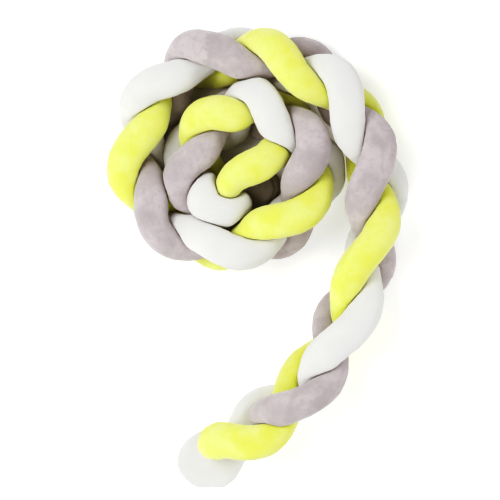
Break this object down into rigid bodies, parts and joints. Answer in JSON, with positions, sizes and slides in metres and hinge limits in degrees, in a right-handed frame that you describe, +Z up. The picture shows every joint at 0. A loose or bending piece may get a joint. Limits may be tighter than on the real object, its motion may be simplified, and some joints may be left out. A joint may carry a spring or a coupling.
{
  "type": "crib bumper",
  "caption": "Padded velour tubes braided into a long soft bumper, stood on edge and laid in a coil with a loose tail.",
  "frame": {"origin": "on the surface it lies on, under the middle of its bounding box", "axes": "+Z up, the braid standing on edge; +Y from the tip of the tail to the coil; +X to the right of the picture"},
  "size_m": [0.4513, 0.7126, 0.1519],
  "materials": {
    "yellow_velour": "smooth short pile",
    "white_velour": "smooth short pile",
    "grey_velour": "crushed short pile"
  },
  "bodies": {
    "root": {"tube_yellow": "yellow_velour", "tube_white": "white_velour", "tube_grey": "grey_velour"}
  },
  "joints": []
}
